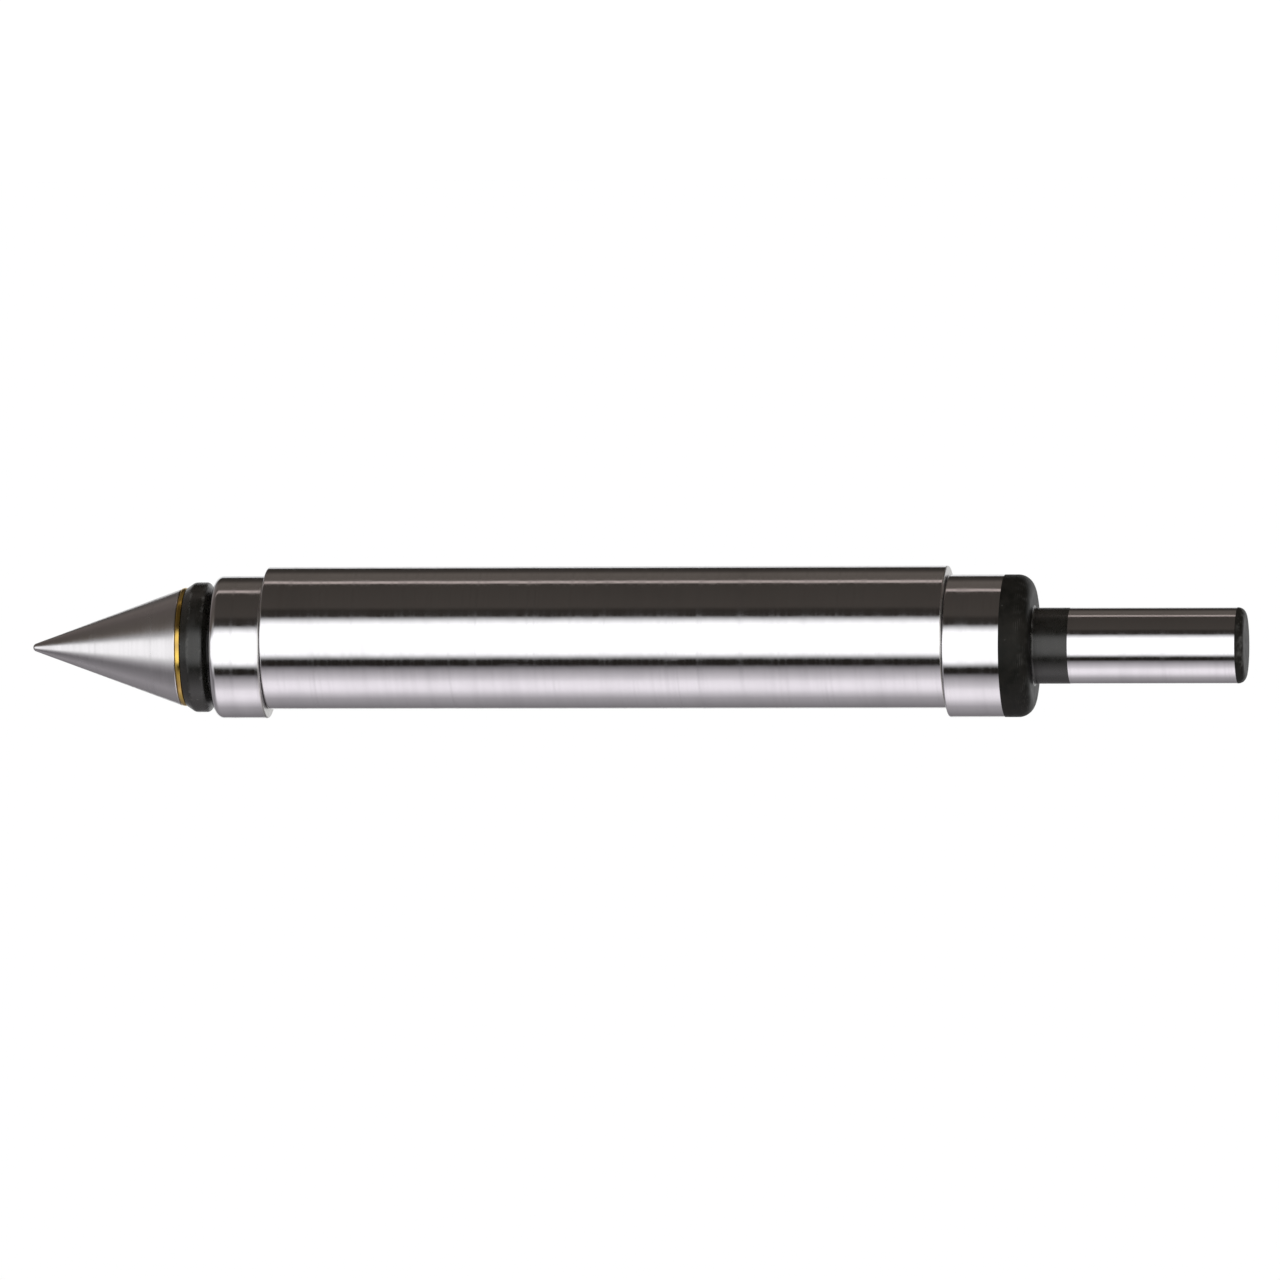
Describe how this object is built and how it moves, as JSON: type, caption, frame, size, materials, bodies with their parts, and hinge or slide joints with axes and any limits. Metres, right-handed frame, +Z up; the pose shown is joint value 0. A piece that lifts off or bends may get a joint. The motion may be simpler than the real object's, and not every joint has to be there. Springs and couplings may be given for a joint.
{
  "type": "edge finder",
  "caption": "Straight ground shank with a spring-held conical locating point at one end and a flanged cylindrical contact at the other, for finding edges and centres.",
  "frame": {"origin": "middle of the shank, on its axis", "axes": "+X along the shank towards the cylindrical contact, +Z up, both contacts resting slightly below the axis"},
  "size_m": [0.0819, 0.0096, 0.0102],
  "materials": {
    "ground_steel": "bright cylindrically ground hardened steel",
    "blacked_steel": "black oxide with bright ground lands",
    "braze": "satin brass braze",
    "bronze": "oiled phosphor bronze",
    "spring_steel": "drawn spring wire",
    "plated_steel": "zinc plated"
  },
  "bodies": {
    "shank": {"shank_tube": "ground_steel", "point_end_bush": "ground_steel", "tip_end_bush": "ground_steel"},
    "point_slip": {"point_slip_washer": "bronze"},
    "point_seat": {"point_seat_washer": "plated_steel", "point_spring": "spring_steel"},
    "point_draw": {"point_spring_cup": "plated_steel"},
    "pointed_contact": {"locating_cone": "ground_steel", "braze_ring": "braze", "point_flange": "blacked_steel", "point_draw_rod": "plated_steel", "point_stop_nut": "plated_steel", "point_lock_nut": "plated_steel"},
    "tip_slip": {"tip_slip_washer": "bronze"},
    "tip_seat": {"tip_seat_washer": "plated_steel", "tip_spring": "spring_steel"},
    "tip_draw": {"tip_spring_cup": "plated_steel"},
    "cylindrical_contact": {"tip_contact": "blacked_steel", "tip_draw_rod": "plated_steel", "tip_stop_nut": "plated_steel", "tip_lock_nut": "plated_steel"}
  },
  "joints": [
    {"name": "point_float_z", "type": "slide", "parent": "shank", "child": "point_slip", "axis": [0, 0, 1], "range_m": [-0.0001, 0.0013]},
    {"name": "point_float_y", "type": "slide", "parent": "point_slip", "child": "point_seat", "axis": [0, 1, 0], "range_m": [-0.0007, 0.0007]},
    {"name": "point_pull", "type": "slide", "parent": "point_seat", "child": "point_draw", "axis": [-1, 0, 0], "range_m": [0, 0.0015], "stiffness_N_per_m": 600, "springref_m": -0.008, "deforming": ["point_spring"]},
    {"name": "point_spin", "type": "hinge", "parent": "point_draw", "child": "pointed_contact", "pos_m": [0, 0, -0.0006], "axis": [1, 0, 0], "continuous": true},
    {"name": "tip_float_z", "type": "slide", "parent": "shank", "child": "tip_slip", "axis": [0, 0, 1], "range_m": [-0.0001, 0.0013]},
    {"name": "tip_float_y", "type": "slide", "parent": "tip_slip", "child": "tip_seat", "axis": [0, 1, 0], "range_m": [-0.0007, 0.0007]},
    {"name": "tip_pull", "type": "slide", "parent": "tip_seat", "child": "tip_draw", "axis": [1, 0, 0], "range_m": [0, 0.0015], "stiffness_N_per_m": 600, "springref_m": -0.008, "deforming": ["tip_spring"]},
    {"name": "tip_spin", "type": "hinge", "parent": "tip_draw", "child": "cylindrical_contact", "pos_m": [0, 0, -0.0006], "axis": [1, 0, 0], "continuous": true}
  ]
}
